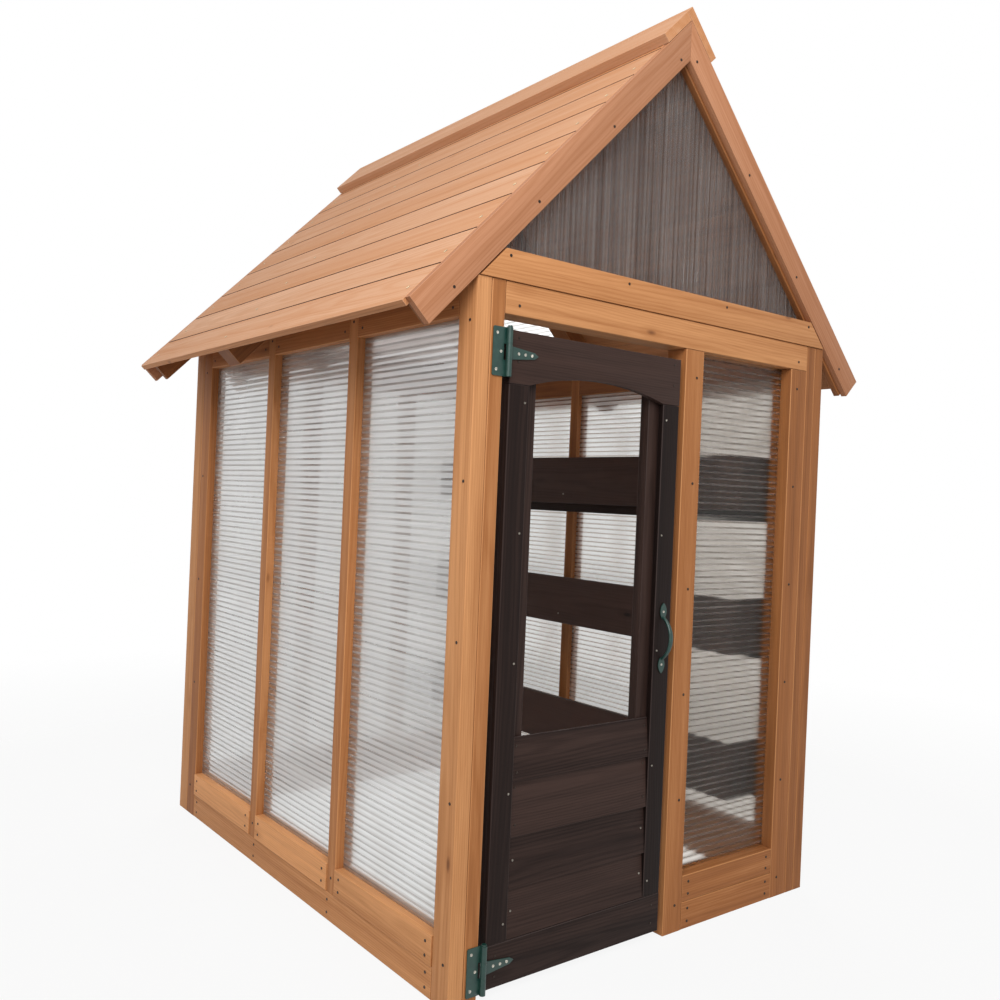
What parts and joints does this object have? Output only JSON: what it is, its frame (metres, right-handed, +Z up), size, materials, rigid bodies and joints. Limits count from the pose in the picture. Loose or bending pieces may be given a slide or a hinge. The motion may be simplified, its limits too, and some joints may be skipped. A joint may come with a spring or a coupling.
{
  "type": "walk-in greenhouse",
  "caption": "Walk-in timber greenhouse with clear fluted panes, a steep board roof, a hinged half-boarded door and trough shelves along one wall.",
  "frame": {"origin": "on the ground, at the middle of the overall width and depth", "axes": "+Z up; -Y is the front, where the door is; -X is the hinge side of the door, seen on the left"},
  "size_m": [2.052, 2.166, 2.9977],
  "materials": {
    "frame_wood": "matte stain",
    "roof_wood": "matte stain",
    "dark_wood": "matte stain",
    "clear_pane": "clear fluted twin-wall sheet",
    "green_metal": "satin paint"
  },
  "bodies": {
    "house": {"back_barge_left": "frame_wood", "back_barge_right": "frame_wood", "back_bottom_board": "frame_wood", "back_gable_pane": "clear_pane", "back_header": "frame_wood", "back_panes": "clear_pane", "back_posts": "frame_wood", "back_sills": "frame_wood", "back_studs": "frame_wood", "back_tie": "frame_wood", "front_barge_left": "frame_wood", "front_barge_right": "frame_wood", "front_bottom_board": "frame_wood", "front_gable_pane": "clear_pane", "front_header": "frame_wood", "front_hinge_post": "frame_wood", "front_latch_stud": "frame_wood", "front_pane": "clear_pane", "front_right_post": "frame_wood", "front_right_stud": "frame_wood", "front_sill": "frame_wood", "front_tie": "frame_wood", "hinge_leaves": "green_metal", "hinge_pins": "green_metal", "left_bottom_board": "frame_wood", "left_panes": "clear_pane", "left_post_back": "frame_wood", "left_post_front": "frame_wood", "left_sills": "frame_wood", "left_studs": "frame_wood", "left_top_rails": "frame_wood", "rafters_back": "frame_wood", "rafters_front": "frame_wood", "rafters_mid": "frame_wood", "ridge_cap_left": "roof_wood", "ridge_cap_right": "roof_wood", "right_bottom_board": "frame_wood", "right_panes": "clear_pane", "right_post_back": "frame_wood", "right_post_front": "frame_wood", "right_roof_pane": "clear_pane", "right_sills": "frame_wood", "right_studs": "frame_wood", "right_top_rails": "frame_wood", "roof_boards_left": "roof_wood", "roof_boards_right": "roof_wood", "shelf_bearers": "dark_wood", "shelf_ends": "dark_wood", "shelf_fronts": "dark_wood", "shelf_ledgers": "dark_wood", "shelf_slats": "dark_wood"},
    "door": {"door_bottom_rail": "dark_wood", "door_handle": "green_metal", "door_inner_stile_hinge_side": "dark_wood", "door_inner_stile_latch_side": "dark_wood", "door_siding": "dark_wood", "door_stile_hinge_side": "dark_wood", "door_stile_latch_side": "dark_wood", "door_top_rail": "dark_wood", "hinge_straps": "green_metal"}
  },
  "joints": [
    {"name": "door_hinge", "type": "hinge", "parent": "house", "child": "door", "pos_m": [-0.69, -1.048, 0.947], "axis": [0, 0, -1], "range_deg": [0, 160]}
  ]
}
